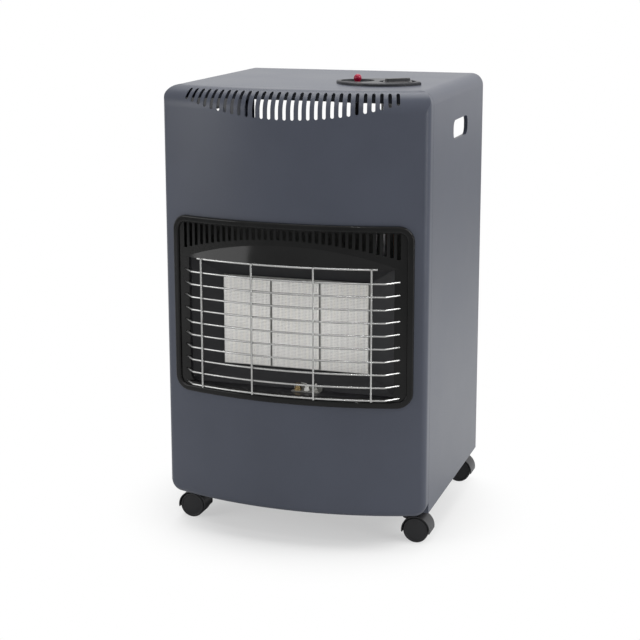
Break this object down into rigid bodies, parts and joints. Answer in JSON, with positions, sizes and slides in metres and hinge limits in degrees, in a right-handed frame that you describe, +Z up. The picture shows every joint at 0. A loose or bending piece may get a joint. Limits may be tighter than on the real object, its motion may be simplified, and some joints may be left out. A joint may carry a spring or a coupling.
{
  "type": "cabinet gas heater",
  "caption": "Upright cabinet gas heater on casters: bowed front, slotted top, black burner surround with ceramic tiles behind a wire guard, top controls and lift-off rear cover.",
  "frame": {"origin": "on the floor, below the middle of the bounding box", "axes": "X across the cabinet, -Y towards the warm front, +Z up"},
  "size_m": [0.43, 0.4376, 0.735],
  "materials": {
    "cabinet_paint": "satin slate paint",
    "black_enamel": "glossy black enamel",
    "guard_chrome": "bright plated wire",
    "firebox_black": "heat-proof black",
    "ceramic": "matt, perforated",
    "white_ceramic": "glazed",
    "burner_steel": "aluminised sheet",
    "zinc_steel": "zinc plated",
    "aluminium": "drawn and cast",
    "brass": "turned",
    "base_paint": "satin",
    "bezel_plastic": "moulded",
    "knob_plastic": "moulded",
    "red_plastic": "moulded",
    "lead_sleeve": "silicone sleeve",
    "copper": "bare copper",
    "caster_plastic": "moulded",
    "wheel_plastic": "moulded"
  },
  "bodies": {
    "base": {"cabinet_shell": "cabinet_paint", "front_panel": "cabinet_paint", "burner_surround": "black_enamel", "guard_grille": "guard_chrome", "firebox": "firebox_black", "ceramic_tile_left": "ceramic", "ceramic_tile_middle": "ceramic", "ceramic_tile_right": "ceramic", "burner_pan_left": "burner_steel", "burner_pan_middle": "burner_steel", "burner_pan_right": "burner_steel", "burner_clamps": "burner_steel", "clamp_screws": "zinc_steel", "base_screws": "zinc_steel", "gas_rail": "aluminium", "injector_jets": "brass", "rail_saddles": "burner_steel", "pilot_bracket": "burner_steel", "pilot_burner": "brass", "thermocouple": "zinc_steel", "spark_electrode": "white_ceramic", "spark_wire": "zinc_steel", "base_pan": "base_paint", "heat_shield": "burner_steel", "rear_crossbar": "cabinet_paint", "control_bezel": "bezel_plastic", "gas_valve": "aluminium", "valve_bracket": "burner_steel", "igniter_body": "knob_plastic", "igniter_nut": "zinc_steel", "supply_tube": "aluminium", "pilot_tube": "aluminium", "thermocouple_lead": "copper", "igniter_lead": "lead_sleeve", "caster_stems": "zinc_steel", "caster_nuts": "zinc_steel"},
    "rear_cover": {"rear_cover": "cabinet_paint"},
    "valve_rotor": {"valve_spindle": "zinc_steel"},
    "knob": {"gas_knob": "knob_plastic"},
    "button": {"igniter_button": "red_plastic"},
    "caster_fl": {"caster_hood_fl": "caster_plastic", "caster_axle_fl": "zinc_steel"},
    "wheel_fl_a": {"caster_wheel_fl_a": "wheel_plastic"},
    "wheel_fl_b": {"caster_wheel_fl_b": "wheel_plastic"},
    "caster_fr": {"caster_hood_fr": "caster_plastic", "caster_axle_fr": "zinc_steel"},
    "wheel_fr_a": {"caster_wheel_fr_a": "wheel_plastic"},
    "wheel_fr_b": {"caster_wheel_fr_b": "wheel_plastic"},
    "caster_rl": {"caster_hood_rl": "caster_plastic", "caster_axle_rl": "zinc_steel"},
    "wheel_rl_a": {"caster_wheel_rl_a": "wheel_plastic"},
    "wheel_rl_b": {"caster_wheel_rl_b": "wheel_plastic"},
    "caster_rr": {"caster_hood_rr": "caster_plastic", "caster_axle_rr": "zinc_steel"},
    "wheel_rr_a": {"caster_wheel_rr_a": "wheel_plastic"},
    "wheel_rr_b": {"caster_wheel_rr_b": "wheel_plastic"}
  },
  "joints": [
    {"name": "cover_lift", "type": "slide", "parent": "base", "child": "rear_cover", "axis": [0, 0.7071, 0.7071], "range_m": [0, 0.15]},
    {"name": "knob_turn", "type": "hinge", "parent": "base", "child": "valve_rotor", "pos_m": [0.133, -0.04343, 0.719], "axis": [0, 0, 1], "range_deg": [0, 270]},
    {"name": "knob_push", "type": "slide", "parent": "valve_rotor", "child": "knob", "axis": [0, 0, -1], "range_m": [0, 0.0045], "stiffness_N_per_m": 900},
    {"name": "button_push", "type": "slide", "parent": "base", "child": "button", "axis": [0, 0, -1], "range_m": [0, 0.006], "stiffness_N_per_m": 1500},
    {"name": "swivel_fl", "type": "hinge", "parent": "base", "child": "caster_fl", "pos_m": [-0.1755, -0.11143, 0.0542], "axis": [0, 0, 1], "continuous": true},
    {"name": "wheel_fl_a", "type": "hinge", "parent": "caster_fl", "child": "wheel_fl_a", "pos_m": [-0.1915, -0.11143, 0.0205], "axis": [0, 1, 0], "continuous": true},
    {"name": "wheel_fl_b", "type": "hinge", "parent": "caster_fl", "child": "wheel_fl_b", "pos_m": [-0.1915, -0.11143, 0.0205], "axis": [0, 1, 0], "continuous": true},
    {"name": "swivel_fr", "type": "hinge", "parent": "base", "child": "caster_fr", "pos_m": [0.1755, -0.11143, 0.0542], "axis": [0, 0, 1], "continuous": true},
    {"name": "wheel_fr_a", "type": "hinge", "parent": "caster_fr", "child": "wheel_fr_a", "pos_m": [0.1915, -0.11143, 0.0205], "axis": [0, 1, 0], "continuous": true},
    {"name": "wheel_fr_b", "type": "hinge", "parent": "caster_fr", "child": "wheel_fr_b", "pos_m": [0.1915, -0.11143, 0.0205], "axis": [0, 1, 0], "continuous": true},
    {"name": "swivel_rl", "type": "hinge", "parent": "base", "child": "caster_rl", "pos_m": [-0.1755, 0.19407, 0.0542], "axis": [0, 0, 1], "continuous": true},
    {"name": "wheel_rl_a", "type": "hinge", "parent": "caster_rl", "child": "wheel_rl_a", "pos_m": [-0.1915, 0.19407, 0.0205], "axis": [0, 1, 0], "continuous": true},
    {"name": "wheel_rl_b", "type": "hinge", "parent": "caster_rl", "child": "wheel_rl_b", "pos_m": [-0.1915, 0.19407, 0.0205], "axis": [0, 1, 0], "continuous": true},
    {"name": "swivel_rr", "type": "hinge", "parent": "base", "child": "caster_rr", "pos_m": [0.1755, 0.19407, 0.0542], "axis": [0, 0, 1], "continuous": true},
    {"name": "wheel_rr_a", "type": "hinge", "parent": "caster_rr", "child": "wheel_rr_a", "pos_m": [0.1915, 0.19407, 0.0205], "axis": [0, 1, 0], "continuous": true},
    {"name": "wheel_rr_b", "type": "hinge", "parent": "caster_rr", "child": "wheel_rr_b", "pos_m": [0.1915, 0.19407, 0.0205], "axis": [0, 1, 0], "continuous": true}
  ]
}
